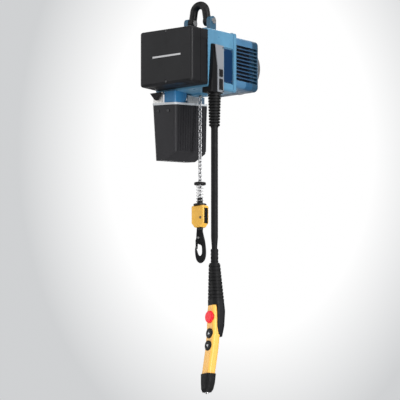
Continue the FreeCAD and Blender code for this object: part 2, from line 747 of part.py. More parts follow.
def bucket_rim():
    centre, width, depth, radius = bucket_section(BUCKET_TOP - RIM_HEIGHT, 0)[:4]
    outer = slab(centre, width + 2, depth + 2, radius, BUCKET_TOP - RIM_HEIGHT, BUCKET_TOP)
    inner = slab(centre, width - 6, depth - 6, radius - 2, BUCKET_TOP - RIM_HEIGHT - 1,
                 BUCKET_TOP + 1)
    return hang_bucket(outer.cut(inner))


def bucket_hanger_front():
    """The cast block that carries the bucket's front edge."""
    block = soft_box((-69, -20.5), (-107, -41), (BUCKET_TOP - 5, BODY_BOTTOM), 5, "z")
    lip = [(-20, -280), (-20, BUCKET_TOP - 6), (-33, BUCKET_TOP - 6)]
    return cut(block, [bucket_space(), outline(lip, -60, -30)])


def bucket_hanger_rear():
    post = soft_box((-40, -21), (25, 54), (BUCKET_TOP, BODY_BOTTOM - 3), 4, "z")
    far = soft_box((-112, -92), (25, 54), (BUCKET_TOP, BODY_BOTTOM - 3), 4, "z")
    return group([post, far]).cut(bucket_space())


def bracket_plates():
    """Galvanised plates that tie the hanger to the casting."""
    side = box((-24, -21), (-38, 18), (BUCKET_TOP, BODY_BOTTOM - 6))
    front = box((-113, -72), (-107, -104), (BUCKET_TOP, COVER_BOTTOM - 8))
    foot = box((-113, -72), (-107, -80), (COVER_BOTTOM - 10, COVER_BOTTOM - 7.4))
    return group([side, front.fuse(foot).removeSplitter()]).cut(bucket_space())


def wedge_bracket():
    """A triangular rubber stop between the cover and the bucket's outer front corner."""
    points = [(-118, -288), (-76, -288), (-76, -294), (-92, -312), (-98, -312)]
    return outline(points, -118, -108)


def bucket_screws():
    screws = []
    for x in (-92, -50):
        body = cyl("y", (x, -352), 4.5, BUCKET_Y[0] - 1.2, BUCKET_Y[0] + 1.1)
        socket = cyl("y", (x, -352), 2, BUCKET_Y[0] - 3, BUCKET_Y[0] - 0.2)
        screws.append(hang_bucket(body.cut(socket)))
    return screws


# ---------------------------------------------------------------- control connection
def connection_box():
    """The black box on the right side; its foot turns under the casting to the cable boot."""
    side = [(BODY_X, -141), (BODY_X + 8, -141), (BODY_X + 14, -200), (BODY_X + 14, -304),
            (CABLE_X - 22, -304), (CABLE_X - 22, BODY_BOTTOM - 0.5), (BODY_X, BODY_BOTTOM - 0.5)]
    body = outline(side, *BOX_Y)
    edges = [e for e in body.Edges if e.BoundBox.ZLength > 40 and e.BoundBox.YLength < 0.1]
    body = body.makeFillet(3, [e for e in edges if e.BoundBox.XMin > BODY_X + 1])
    wedge = outline([(BODY_X + 7, -146), (BODY_X + 14, -146), (BODY_X + 14, -201)], -76, -36)
    body = body.fuse(wedge)
    slant = [(BOX_Y[0] - 1, -140), (BOX_Y[0] + 12, -140), (BOX_Y[0] - 1, -290)]
    corners = [Vector(BODY_X - 30, y, z) for y, z in slant]
    shoulder = Part.Face(Part.makePolygon(corners + corners[:1])).extrude(Vector(60, 0, 0))
    body = body.cut(shoulder)
    hollow = box((BODY_X - 18, BODY_X + 10), (-76, -40), (-299, BODY_BOTTOM - 4))
    bore = cyl("z", (CABLE_X, CABLE_Y), 12.5, -306, -298)
    return cut(body, [hollow, bore])


def service_panel():
    points = [(-78, -144), (-34, -144), (-34, -301), (-66, -301), (-66, -215)]
    corners = [Vector(BODY_X + 14, y, z) for y, z in points]
    face = Part.Face(Part.makePolygon(corners + corners[:1]))
    plate = face.extrude(Vector(3, 0, 0))
    sockets = [
        box((BODY_X + 15.4, BODY_X + 18), (-59, -41), (-250, -225)),
        box((BODY_X + 15.4, BODY_X + 18), (-59, -41), (-294, -257)),
    ]
    return cut(plate, sockets + panel_screws())


def plug_connectors():
    plugs = []
    for low, high in ((-249.5, -225.5), (-293.5, -257.5)):
        body = box((BODY_X + 15.4, BODY_X + 20), (-58.5, -41.5), (low, high))
        lever = box((BODY_X + 20, BODY_X + 21.5), (-53, -46), (low + 5, high - 5))
        plugs.append(body.fuse(lever).removeSplitter())
    return group(plugs)


def panel_screws():
    x = BODY_X + 17
    places = [(-38.5, -151), (-38.5, -297)]
    return [screw("x", place, x - 1.2, x + 1.4, 2.6, 1.5, 1.4, True) for place in places]


def cable_boot():
    """A ribbed rubber boot, wider at the top."""
    centre = (CABLE_X, CABLE_Y)
    top = -304.0
    bottom = -413.0
    core = cone(centre, 13, 16.5, bottom, top)
    rings = []
    count = 11
    pitch = (top - bottom) / count
    for index in range(count):
        z = bottom + index * pitch
        radius = 18.0 + 3.5 * index / (count - 1)
        rings.append(cyl("z", centre, radius, z, z + 0.52 * pitch))
    neck = cyl("z", centre, 13, CABLE_TOP, bottom)
    return fuse([core, neck] + rings).cut(cyl("z", centre, CABLE_R, CABLE_TOP - 1, top + 1))


def control_cable():
    return cyl("z", (CABLE_X, CABLE_Y), CABLE_R, CABLE_END, -304)


def supply_gland():
    """A screwed gland for the mains supply, in the left side of the casting."""
    centre = GLAND_AT
    thread = cyl("x", centre, 12, -BODY_X, -BODY_X + WALL + 3)
    nut = cyl("x", centre, 17, -BODY_X - 7, -BODY_X)
    cap = cyl("x", centre, 14, -BODY_X - 19, -BODY_X - 7)
    bore = cyl("x", centre, 6.5, -BODY_X - 20, -BODY_X + WALL + 4)
    return fuse([thread, nut, cap]).cut(bore)


# ---------------------------------------------------------------- pendant
def place_pendant(shape):
    """Turn a shape modelled about its own axis to the pendant's heading on the cable."""
    shape = turned(shape, Vector(0, 0, 1), PENDANT_YAW)
    shape.translate(Vector(CABLE_X, CABLE_Y, 0))
    return shape


def pendant_sleeve():
    """A crimped cable end, a collar, and a ribbed sleeve that widens towards the back."""
    crimp = cone((0, 0), 8.8, CABLE_R, -825, CABLE_END)
    collar = cyl("z", (0, 0), 12, -874, -825)
    rims = [ring("z", (0, 0), 11.5, 12.8, z, z + 4) for z in (-868, -856, -844, -832)]
    core = tower([((0, SLEEVE_BACK), 50, 40, 17, -1000), ((0, 0), 34, 31, 14, -872)])
    ribs = []
    count = 11
    for index in range(count):
        share = index / (count - 1)
        width = 53 - 14 * share
        depth = 43 - 8 * share
        z = -1000 + index * 11.5
        ribs.append(slab((0, SLEEVE_BACK * (1 - share)), width, depth, 16, z, z + 8.2))
    return place_pendant(fuse([crimp, collar, core] + rims + ribs))


def pendant_rear_shell():
    """The black rear shell around the head, with a slanted lower end."""
    outer = tower([
        ((0, SLEEVE_BACK + 1), 44, 26, 10, -1116), ((0, SLEEVE_BACK + 3), 52, 38, 14, -1080),
        ((0, SLEEVE_BACK + 3), 54, 44, 15, -1030), ((0, SLEEVE_BACK), 53, 43, 16, -1000),
    ])
    front = box((-40, 40), (-60, FACE_Y + 14), (-1130, -1012))
    slant = [(-40, -1096), (60, -1130), (-40, -1130)]
    corners = [Vector(-40, y, z) for y, z in slant]
    wedge = Part.Face(Part.makePolygon(corners + corners[:1])).extrude(Vector(80, 0, 0))
    hollow = slab((0, SLEEVE_BACK + 4), 34, 20, 6, -1088, -1016)
    return place_pendant(cut(outer, [front, wedge, hollow, soft_grip(0.2)]))


def soft_grip(margin):
    """The yellow body's outer form, grown by a margin."""
    m = 2 * margin
    return tower([
        ((0, GRIP_END_Y), 42 + m, 31 + m, 9, GRIP_END_Z - margin),
        ((0, FACE_Y + 8), 43 + m, 31 + m, 9, -1160),
        ((0, FACE_Y + 15), 44 + m, 30 + m, 9, -1100),
        ((0, FACE_Y + 14), 43 + m, 28 + m, 9, -1040),
        ((0, FACE_Y + 14), 36 + m, 24 + m, 9, -1013 + margin),
    ])


def face_at(z):
    """The y of the yellow face at height z, which leans forward towards its lower end."""
    stations = [(GRIP_END_Z, GRIP_END_Y - 15.5), (-1160, FACE_Y - 7.5), (-1100, FACE_Y),
                (-1040, FACE_Y), (-1013, FACE_Y + 2)]
    for (z0, y0), (z1, y1) in zip(stations, stations[1:]):
        if z0 <= z <= z1:
            return y0 + (y1 - y0) * (z - z0) / (z1 - z0)
    return FACE_Y


def grip_hollow():
    return tower([
        ((0, GRIP_END_Y + 2), 33, 20, 6, GRIP_END_Z + 8),
        ((0, FACE_Y + 11), 34, 18, 6, -1160),
        ((0, FACE_Y + 18), 35, 18, 6, -1100),
        ((0, FACE_Y + 18), 33, 14, 6, -1040),
        ((0, FACE_Y + 18), 28, 13, 6, -1020),
    ])


def pendant_body():
    holes = [cyl("y", (0, z), STEM_R + 0.6, -60, FACE_Y + 16) for z in (STOP_Z, UP_Z, DOWN_Z)]
    for z in (UP_Z, DOWN_Z):
        y = face_at(z)
        holes.append(cyl("y", (0, z), COLLAR_R, -60, y + POCKET_DEPTH))
    holes.append(cyl("y", (0, STOP_Z), STOP_R + 0.6, -60, face_at(STOP_Z) + STOP_POCKET))
    seat = cyl("z", (0, GRIP_END_Y), 5, GRIP_END_Z - 5, GRIP_END_Z + 12)
    return place_pendant(cut(soft_grip(0), [grip_hollow(), seat] + holes))


def button_collars():
    """Round rubber seats let into the yellow face around the two direction buttons."""
    seats = []
    for z in (UP_Z, DOWN_Z):
        y = face_at(z)
        seats.append(ring("y", (0, z), BUTTON_R + 0.5, COLLAR_R, y - 2.5, y + POCKET_DEPTH))
    return place_pendant(group(seats))


def push_button(z, radius, front, back, edge_r):
    """A button head between two planes off the face, on a stem that reaches inside."""
    y = face_at(z)
    head = cyl("y", (0, z), radius, y - front, y - back)
    edge = [e for e in head.Edges if e.BoundBox.YMax < y - front + 0.5]
    head = head.makeFillet(edge_r, edge)
    stem = cyl("y", (0, z), STEM_R, y - back - 1, y + 10)
    return place_pendant(head.fuse(stem).removeSplitter())


def stop_button():
    return push_button(STOP_Z, STOP_R, 7, -0.2, 4)


def up_button():
    return push_button(UP_Z, BUTTON_R, 4, -0.2, 2)


def down_button():
    return push_button(DOWN_Z, BUTTON_R, 4, -0.2, 2)


def contact_blocks():
    """One contact block behind each stem, on the hollow's rear wall."""
    blocks = []
    for z in (STOP_Z, UP_Z, DOWN_Z):
        y = face_at(z) + 15
        blocks.append(box((-10, 10), (y, y + 20), (z - 10, z + 10)).common(grip_hollow()))
    return place_pendant(group(blocks))


def pendant_end_cap():
    outer = tower([
        ((0, GRIP_END_Y - 6), 30, 25, 10, -1303),
        ((0, GRIP_END_Y - 4.5), 41, 33, 13, -1293),
        ((0, GRIP_END_Y - 2), 47, 37, 14, -1272),
        ((0, GRIP_END_Y), 48, 38, 12, GRIP_END_Z),
    ])
    socket = cyl("z", (0, GRIP_END_Y - 6), 6, -1304, -1294)
    return place_pendant(cut(outer, [socket]))


def pendant_tip():
    body = cyl("z", (0, GRIP_END_Y - 6), 6, -1308, -1294)
    return place_pendant(body.cut(cyl("z", (0, GRIP_END_Y - 6), 3.5, -1309, -1300)))


# ---------------------------------------------------------------- load line
def stop_plate():
    low, high = STOP_PLATE_Z
    body = soft_disc(STOP_PLATE_R, low, high, 2)
    return body.cut(box((-9, 9), (-9, 9), (low - 1, high + 1)))


def soft_disc(radius, low, high, edge_r):
    disc = cyl("z", (0, 0), radius, low, high)
    return disc.makeFillet(edge_r, [e for e in disc.Edges if e.BoundBox.XLength > radius])


def buffer_spring():
    """A light compression spring between the block and the stop plate."""
    low, high = SPRING_Z
    run = high - low - 4
    helix = Part.makeHelix(run / SPRING_TURNS, run, SPRING_R)
    helix.translate(Vector(0, 0, low + 2))
    start = Vector(SPRING_R, 0, low + 2)
    section = Part.Wire(Part.makeCircle(SPRING_WIRE_R, start, Vector(0, 1, 0.1)))
    return Part.Wire(helix.Edges).makePipeShell([section], True, True)


def chain_anchor_cone():
    body = cone((0, 0), 9.9, 8.4, COLLAR_Z[1], CONE_TOP)
    return body.cut(cyl("z", (0, 0), 7.4, COLLAR_Z[1] + 4, CONE_TOP + 1))


def block_collar():
    disc = soft_disc(21.5, COLLAR_Z[0], COLLAR_Z[1], 1.2)
    groove = ring("z", (0, 0), 20, 23, COLLAR_Z[0] + 2.4, COLLAR_Z[0] + 3.6)
    return disc.cut(groove)


def block_shell(front):
    """One half of the hook block; its bottom is cut to a shallow V."""
    half = BLOCK_HALF_X
    points = [(-half, BLOCK_TOP), (half, BLOCK_TOP), (half, BLOCK_BOTTOM + 15),
              (13, BLOCK_BOTTOM), (-13, BLOCK_BOTTOM), (-half, BLOCK_BOTTOM + 15)]
    y = (-BLOCK_HALF_Y, 0) if front else (0, BLOCK_HALF_Y)
    body = outline(points, *y)
    face_y = -BLOCK_HALF_Y if front else BLOCK_HALF_Y
    corners = []
    for edge in body.Edges:
        bound = edge.BoundBox
        if bound.YLength > 1 and bound.XLength < 0.01 and bound.ZLength < 0.01:
            corners.append(edge)
    body = body.makeFillet(5, corners)
    rounded = []
    for edge in body.Edges:
        bound = edge.BoundBox
        on_face = abs(bound.YMin - face_y) < 1e-6 and abs(bound.YMax - face_y) < 1e-6
        if on_face:
            rounded.append(edge)
    body = body.makeFillet(4.5, rounded)
    cavity = cyl("z", (0, 0), 10.5, -724, -668)
    throat = cyl("z", (0, 0), HOOK_SHANK_R + RUNNING_GAP, BLOCK_BOTTOM - 1, -723)
    recesses = []
    for side in (-1, 1):
        low, high = sorted((side * (half - 1.5), side * (half + 1)))
        recesses.append(box((low, high), (-10, 10), (-722, -670)))
    hole = cyl("y", BLOCK_SCREW_AT, 2.6, -20, 20)
    return cut(body, [cavity, throat, hole] + recesses)


def block_side_panels():
    panels = []
    for side in (-1, 1):
        low, high = sorted((side * (BLOCK_HALF_X - 1.5), side * BLOCK_HALF_X))
        panel = box((low, high), (-9.7, 9.7), (-721.7, -670.3))
        ribs = []
        for index in range(7):
            z = -717 + index * 7
            rib_low, rib_high = sorted((side * (BLOCK_HALF_X - 0.5), side * (BLOCK_HALF_X + 0.8)))
            ribs.append(box((rib_low, rib_high), (-8, 8), (z, z + 3)))
        panels.append(fuse([panel] + ribs))
    return group(panels)


def block_screws():
    return screw("y", BLOCK_SCREW_AT, -BLOCK_HALF_Y - 0.6, BLOCK_HALF_Y, 4.2, 2.6, 0.6, False)


def thrust_bearing():
    return ring("z", (0, 0), HOOK_SHANK_R + 0.3, 10.5, -724, -716)


def hook_nut():
    return ring("z", (0, 0), HOOK_SHANK_R, 9.6, -715.7, -703)


def turn_hook(shape):
    """Swing a hook piece to the heading that the hook rests at."""
    return turned(shape, Vector(0, 0, 1), HOOK_TURN)


def load_hook():
    """A forged hook: round shank, thick back and bowl, and a pointed mouth on the left."""
    right = [(8.8, -738), (11, -754), (16.5, -778), (20, -806), (19.5, -830), (13, -846), (1, -852.5)]
    left = [(1, -852.5), (-9, -846), (-15, -829), (-16.5, -808), (-15, -797)]
    inner = [(-15, -797), (-12, -803.5), (-8, -815), (-4.5, -825), (0, -829.5), (4.5, -825),
             (6.3, -814), (6.2, -802), (4.2, -793.5), (-1, -790), (-7, -787), (-11, -779),
             (-12.5, -768), (-12, -754), (-11, -738)]
    edges = []
    for run in (right, left, inner):
        curve = Part.BSplineCurve()
        curve.interpolate([Vector(x, -HOOK_HALF_Y, z) for x, z in run])
        edges.append(curve.toShape())
    top = [Vector(-11, -HOOK_HALF_Y, -738), Vector(8.8, -HOOK_HALF_Y, -738)]
    edges.append(Part.LineSegment(*top).toShape())
    body = Part.Face(Part.Wire(Part.sortEdges(edges)[0])).extrude(Vector(0, 2 * HOOK_HALF_Y, 0))
    rounds = []
    for edge in body.Edges:
        bound = edge.BoundBox
        if bound.YLength < 0.01 and bound.ZLength > 5:
            rounds.append(edge)
    body = body.makeFillet(2.8, rounds)
    shank = cyl("z", (0, 0), HOOK_SHANK_R, -739, -700)
    flange = cyl("z", (0, 0), 10.5, -741, BLOCK_BOTTOM - 0.4)
    pin_hole = cyl("y", LATCH_PIVOT, 2.05, -20, 20)
    return turn_hook(fuse([body, shank, flange]).cut(pin_hole))


def hook_latch():
    """A folded sheet latch: two ears on the pin and a tongue that closes the mouth."""
    ears = []
    for side in (-1, 1):
        y = sorted((side * (HOOK_HALF_Y + 0.5), side * (HOOK_HALF_Y + 2.3)))
        ear = cyl("y", LATCH_PIVOT, 5.5, *y)
        tail = outline([(-15, -778), (-11.4, -768), (-2, -766), (-3, -776), (-6.8, -788),
                        (-7.8, -804), (-10.4, -804), (-14.6, -794)], *y)
        ears.append(ear.fuse(tail))
    tongue = outline([(-10.4, -797.5), (-7.8, -797.5), (-7.8, -804), (-10.4, -804)],
                     -HOOK_HALF_Y - 2.3, HOOK_HALF_Y + 2.3)
    hole = cyl("y", LATCH_PIVOT, 2, -20, 20)
    return turn_hook(cut(fuse(ears + [tongue]), [hole]))


def latch_pin():
    pin = cyl("y", LATCH_PIVOT, 2, -HOOK_HALF_Y - 4, HOOK_HALF_Y + 4)
    heads = [cyl("y", LATCH_PIVOT, 3.2, *span) for span in ((-12.5, -11), (11, 12.5))]
    return turn_hook(fuse([pin] + heads))


SUB_PARTS = {
    "suspension_bracket": suspension_bracket,
    "suspension_pins": suspension_pins,
    "gearbox_housing": gearbox_housing,
    "gearbox_bulkhead": bulkhead,
    "shaft_bearings": bearings,
    "side_cover_plate": side_plate,
    "electrical_cover": electrical_cover,
    "cover_screws": cover_screws,
    "cover_gasket": cover_gasket,
    "electrics_plate": electrics_plate,
    "control_board": control_board,
    "control_transformer": transformer,
    "motor_housing": motor_housing,
    "motor_end_cap": motor_end_cap,
    "fan_cowl": fan_cowl,
    "motor_stator": stator,
    "motor_rotor": motor_rotor,
    "fan_wheel": fan_wheel,
    "intermediate_gear": intermediate_gear,
    "output_gear": output_gear,
    "pocket_wheel": pocket_wheel,
    "chain_over_wheel": chain_over_wheel,
    "chain_guide": chain_guide,
    "stored_chain": stored_chain,
    "chain_bucket": chain_bucket,
    "bucket_rim": bucket_rim,
    "bucket_hanger_front": bucket_hanger_front,
    "bucket_hanger_rear": bucket_hanger_rear,
    "bracket_plates": bracket_plates,
    "wedge_bracket": wedge_bracket,
    "connection_box": connection_box,
    "service_panel": service_panel,
    "plug_connectors": plug_connectors,
    "cable_boot": cable_boot,
    "control_cable": control_cable,
    "supply_gland": supply_gland,
    "pendant_sleeve": pendant_sleeve,
    "pendant_rear_shell": pendant_rear_shell,
    "pendant_body": pendant_body,
    "pendant_end_cap": pendant_end_cap,
    "pendant_tip": pendant_tip,
    "button_collars": button_collars,
    "contact_blocks": contact_blocks,
    "stop_button": stop_button,
    "up_button": up_button,
    "down_button": down_button,
    "load_chain": load_chain,
    "stop_plate": stop_plate,
    "buffer_spring": buffer_spring,
    "chain_anchor_cone": chain_anchor_cone,
    "block_collar": block_collar,
    "block_side_panels": block_side_panels,
    "block_shell_front": lambda: block_shell(True),
    "block_shell_rear": lambda: block_shell(False),
    "block_screws": block_screws,
    "thrust_bearing": thrust_bearing,
    "hook_nut": hook_nut,
    "load_hook": load_hook,
    "hook_latch": hook_latch,
    "latch_pin": latch_pin,
}


def main():
    os.makedirs(PARTS, exist_ok=True)
    for name, build in SUB_PARTS.items():
        shape = build()
        save(name, shape)
        print(name, len(shape.Solids), "solids", "valid" if shape.isValid() else "INVALID")
    length = CABLE_TOP - CABLE_END
    print("free control cable, straight, no bends:", round(length), "mm")


main()
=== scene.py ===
import math

import bmesh
import bpy
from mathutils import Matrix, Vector


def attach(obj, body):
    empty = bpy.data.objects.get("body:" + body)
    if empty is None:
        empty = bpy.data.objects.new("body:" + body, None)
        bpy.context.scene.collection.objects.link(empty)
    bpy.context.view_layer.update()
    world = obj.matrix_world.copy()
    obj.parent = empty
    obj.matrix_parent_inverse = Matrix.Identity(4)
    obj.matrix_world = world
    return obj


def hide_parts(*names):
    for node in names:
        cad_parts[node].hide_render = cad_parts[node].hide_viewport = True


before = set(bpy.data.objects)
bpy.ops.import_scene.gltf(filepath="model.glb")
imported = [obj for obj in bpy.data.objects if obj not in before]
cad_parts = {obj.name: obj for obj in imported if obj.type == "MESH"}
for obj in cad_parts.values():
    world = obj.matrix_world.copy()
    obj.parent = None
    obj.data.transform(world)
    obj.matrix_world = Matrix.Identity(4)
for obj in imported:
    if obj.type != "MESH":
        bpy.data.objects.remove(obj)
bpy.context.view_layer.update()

SCENE = bpy.context.scene

# ---- camera: seen from the front right and from a little below, through a long lens
AZIMUTH = math.radians(38)
ELEVATION = math.radians(-10)
CAMERA_DISTANCE = 30.0
FRAME_HEIGHT = 1.32
AIM = Vector((0.0, 0.0, -0.6415))
FLOOR_Z = -7.5
BACKDROP_DISTANCE = 45.0

# ---- the straight control cable
CABLE = ((0.105, -0.057, -0.398), (0.105, -0.057, -0.527), (0.105, -0.057, -0.656),
         (0.105, -0.057, -0.785))
CABLE_RADIUS = 0.0115

# ---- the pendant's turn about the cable, and each arrow's face, height and way up
PENDANT_YAW = math.radians(-16)
ARROWS = (("up", -0.0239, -1.107, 1), ("down", -0.0290, -1.148, -1))
ARROW_OUTLINE = ((-0.0055, -0.0035), (0.0055, -0.0035), (0.0, 0.0055))
ARROW_THICKNESS = 0.0005
ARROW_SINK = 0.0001
ARROW_BEVEL = 0.00012

# ---- the studio: where the pool of light painted on the glowing paper is centred, how far it reaches, and its two tones, lit white and painted-shade grey
GLOW_CENTRE = (0.33, 0.41)
GLOW_REACH = (1.11, 1.57)
PAPER_LIT_WHITE = (1.0, 1.0, 1.0)
PAPER_SHADE_GREY = (0.63, 0.64, 0.65)

# ---- softboxes: name, azimuth and elevation in degrees, distance, size, power in watts
LIGHTS = (
    ("key_right", 82, 8, 3.4, (2.2, 3.2), 130.0),
    ("front_left", -12, 22, 3.8, (2.2, 2.6), 38.0),
    ("top", 40, 68, 3.4, (3.0, 3.0), 58.0),
    ("below", 30, -62, 2.9, (3.0, 3.0), 62.0),
    ("rear", 205, 18, 4.0, (3.0, 3.0), 80.0),
    ("rear_left", 290, 12, 4.0, (2.5, 3.0), 50.0),
)
LIGHT_AIM = Vector((0.0, 0.0, -0.45))

# ---- surface details shared by several finishes
GRAIN_DEPTH = 0.00006
BARE_METAL = (0.42, 0.43, 0.44)


# ---------------------------------------------------------------- materials
class Nodes:
    """A short way to build one material's node tree."""

    def __init__(self, name):
        self.material = bpy.data.materials.new(name)
        self.material.use_nodes = True
        self.tree = self.material.node_tree
        self.shader = self.tree.nodes["Principled BSDF"]
        self.place = self.add("ShaderNodeTexCoord").outputs["Object"]

    def add(self, kind, **settings):
        node = self.tree.nodes.new(kind)
        for key, value in settings.items():
            setattr(node, key, value)
        return node

    def link(self, start, end):
        self.tree.links.new(start, end)

    def stretched(self, scale):
        mapping = self.add("ShaderNodeMapping")
        mapping.inputs["Scale"].default_value = scale
        self.link(self.place, mapping.inputs["Vector"])
        return mapping.outputs["Vector"]

    def noise(self, scale, detail=4.0, rough=0.55, stretch=None):
        node = self.add("ShaderNodeTexNoise")
        node.inputs["Scale"].default_value = scale
        node.inputs["Detail"].default_value = detail
        node.inputs["Roughness"].default_value = rough
        self.link(self.stretched(stretch) if stretch else self.place, node.inputs["Vector"])
        return node.outputs["Fac"]

    def cells(self, scale):
        node = self.add("ShaderNodeTexVoronoi")
        node.inputs["Scale"].default_value = scale
        self.link(self.place, node.inputs["Vector"])
        return node.outputs["Distance"]

    def span(self, value, low, high, new_low=0.0, new_high=1.0, clamp=True):
        node = self.add("ShaderNodeMapRange")
        for name, number in zip(("From Min", "From Max", "To Min", "To Max"),
                                (low, high, new_low, new_high)):
            node.inputs[name].default_value = number
        node.clamp = clamp
        self.link(value, node.inputs["Value"])
        return node.outputs["Result"]

    def combine(self, how, a, b):
        node = self.add("ShaderNodeMath", operation=how)
        for slot, value in zip(node.inputs, (a, b)):
            if isinstance(value, float):
                slot.default_value = value
            else:
                self.link(value, slot)
        return node.outputs[0]

    def mix(self, fac, a, b):
        node = self.add("ShaderNodeMix", data_type="RGBA")
        self.link(fac, node.inputs["Factor"])
        for slot, value in ((node.inputs[6], a), (node.inputs[7], b)):
            if isinstance(value, tuple):
                slot.default_value = (*value, 1.0)
            else:
                self.link(value, slot)
        return node.outputs[2]

    def zone(self, spans):
        """A mask that is 1 inside every span; each is (X, Y, Z or |X|, low, high)."""
        split = self.add("ShaderNodeSeparateXYZ")
        self.link(self.place, split.inputs[0])
        mask = None
        for axis, low, high in spans:
            value = split.outputs[axis.strip("|")]
            if axis == "|X|":
                value = self.combine("ABSOLUTE", value, 0.0)
            inside = self.combine("MULTIPLY", self.combine("GREATER_THAN", value, low),
                               self.combine("LESS_THAN", value, high))
            mask = inside if mask is None else self.combine("MULTIPLY", mask, inside)
        return mask

    def worn_edges(self, radius, patchy):
        """A mask that is high along sharp outer edges, broken up by noise."""
        bevel = self.add("ShaderNodeBevel", samples=4)
        bevel.inputs["Radius"].default_value = radius
        plain = self.add("ShaderNodeNewGeometry")
        dot = self.add("ShaderNodeVectorMath", operation="DOT_PRODUCT")
        self.link(bevel.outputs["Normal"], dot.inputs[0])
        self.link(plain.outputs["Normal"], dot.inputs[1])
        edge = self.span(dot.outputs["Value"], 0.985, 0.86)
        return self.combine("MULTIPLY", edge, self.span(self.noise(patchy), 0.50, 0.66))

    def bump(self, heights):
        """Stacks bumps, each (height, distance in metres, strength)."""
        last = None
        for height, distance, strength in heights:
            node = self.add("ShaderNodeBump")
            node.inputs["Distance"].default_value = distance
            node.inputs["Strength"].default_value = strength
            self.link(height, node.inputs["Height"])
            if last is not None:
                self.link(last, node.inputs["Normal"])
            last = node.outputs["Normal"]
        self.link(last, self.shader.inputs["Normal"])

    def value(self, **sockets):
        for name, number in sockets.items():
            self.shader.inputs[name.replace("_", " ")].default_value = number

    def colour(self, socket):
        self.link(socket, self.shader.inputs["Base Color"])

    def rough(self, socket):
        self.link(socket, self.shader.inputs["Roughness"])


def shade(colour, factor):
    return tuple(min(1.0, channel * factor) for channel in colour)


def moulded(name, colour, low=0.38, high=0.56, grain=1500.0, spread=0.25, shine=0.5, zones=()):
    """Injection-moulded plastic with spark-eroded grain, faint flow marks and scuffs.
    zones are areas of another colour, each (spans, colour)."""
    n = Nodes(name)
    flow = n.span(n.noise(9.0, 3.0, 0.5, (1.0, 1.0, 0.35)), 0.3, 0.7)
    tint = n.mix(flow, shade(colour, 1 - spread), shade(colour, 1 + spread))
    for spans, other in zones:
        tint = n.mix(n.zone(spans), tint, other)
    scuff = n.span(n.noise(60.0, 6.0, 0.7, (1.0, 1.0, 7.0)), 0.64, 0.80, 0.0, 0.35)
    edge = n.combine("MULTIPLY", n.worn_edges(0.0015, 140.0), 0.45)
    wear = n.combine("MAXIMUM", scuff, edge)
    n.colour(n.mix(wear, tint, tuple(0.8 * c + 0.03 for c in colour)))
    n.rough(n.span(n.noise(26.0, 6.0), 0.3, 0.72, low, high))
    n.value(Specular_IOR_Level=shine)
    n.bump([(n.noise(grain, 2.0), GRAIN_DEPTH, 0.5), (n.cells(grain * 0.6), GRAIN_DEPTH, 0.25),
            (n.noise(34.0), 0.0004, 0.06)])
    return n.material


def rubber(name, colour, stretch=(1.0, 1.0, 0.08)):
    """Matt rubber with a bloom of dust and fine extrusion lines."""
    n = Nodes(name)
    dust = n.span(n.noise(38.0, 7.0, 0.68), 0.46, 0.78, 0.0, 0.5)
    n.colour(n.mix(dust, colour, tuple(c * 1.5 + 0.003 for c in colour)))
    n.value(Specular_IOR_Level=0.2)
    n.rough(n.span(n.noise(80.0), 0.3, 0.7, 0.50, 0.72))
    n.bump([(n.noise(700.0, 3.0, 0.6, stretch), 0.00012, 0.35),
            (n.noise(2400.0, 2.0), 0.00004, 0.5)])
    return n.material


def painted(name, colour, zones=(), coat=0.25, shine=0.5):
    """Satin paint over a casting: orange peel, cast texture, grime and chipped edges.
    zones are areas of another colour, each (spans, colour); here they carry painted shade."""
    n = Nodes(name)
    cloud = n.span(n.noise(7.0, 5.0, 0.6), 0.3, 0.7)
    tint = n.mix(cloud, shade(colour, 0.84), shade(colour, 1.16))
    for spans, other in zones:
        tint = n.mix(n.zone(spans), tint, other)
    grime = n.span(n.noise(22.0, 8.0, 0.72, (1.0, 1.0, 0.45)), 0.54, 0.82, 0.0, 0.55)
    dirty = n.mix(grime, tint, shade(colour, 0.42))
    chips = n.worn_edges(0.0016, 210.0)
    n.colour(n.mix(chips, dirty, BARE_METAL))
    n.link(n.combine("MULTIPLY", chips, 0.85), n.shader.inputs["Metallic"])
    n.rough(n.span(n.noise(32.0, 6.0), 0.3, 0.7, 0.27, 0.46))
    n.value(Coat_Weight=coat, Coat_Roughness=0.22, Specular_IOR_Level=shine)
    n.bump([(n.noise(520.0, 3.0), 0.00014, 0.32), (n.noise(95.0, 4.0), 0.0005, 0.12)])
    return n.material


def forged(name, colour, low=0.36, high=0.62):
    """Dark forged steel: a hammered, mottled scale with bright rubbed spots."""
    n = Nodes(name)
    scale = n.span(n.noise(120.0, 8.0, 0.75), 0.34, 0.68)
    tint = n.mix(scale, shade(colour, 0.5), shade(colour, 1.9))
    rubbed = n.combine("MAXIMUM", n.worn_edges(0.0022, 160.0),
                    n.span(n.noise(240.0, 6.0, 0.8), 0.68, 0.80, 0.0, 0.6))
    n.colour(n.mix(rubbed, tint, (0.30, 0.295, 0.29)))
    n.value(Metallic=0.75)
    n.rough(n.span(n.noise(170.0, 6.0), 0.3, 0.72, low, high))
    n.bump([(n.cells(190.0), 0.0009, 0.25), (n.noise(420.0, 6.0), 0.0005, 0.35)])
    return n.material


def plated(name, colour, low=0.20, high=0.42, stretch=(1.0, 1.0, 12.0)):
    """Zinc-plated or ground steel with spangle, fine brushing and dull patches."""
    n = Nodes(name)
    spangle = n.span(n.cells(260.0), 0.0, 0.7)
    tint = n.mix(spangle, shade(colour, 0.78), shade(colour, 1.12))
    tarnish = n.span(n.noise(70.0, 7.0, 0.7), 0.52, 0.78, 0.0, 0.6)
    n.colour(n.mix(tarnish, tint, shade(colour, 0.42)))
    n.value(Metallic=1.0)
    n.rough(n.span(n.noise(190.0, 5.0), 0.3, 0.72, low, high))
    n.bump([(n.noise(900.0, 3.0, 0.6, stretch), 0.00008, 0.35), (n.noise(300.0), 0.0002, 0.12)])
    return n.material


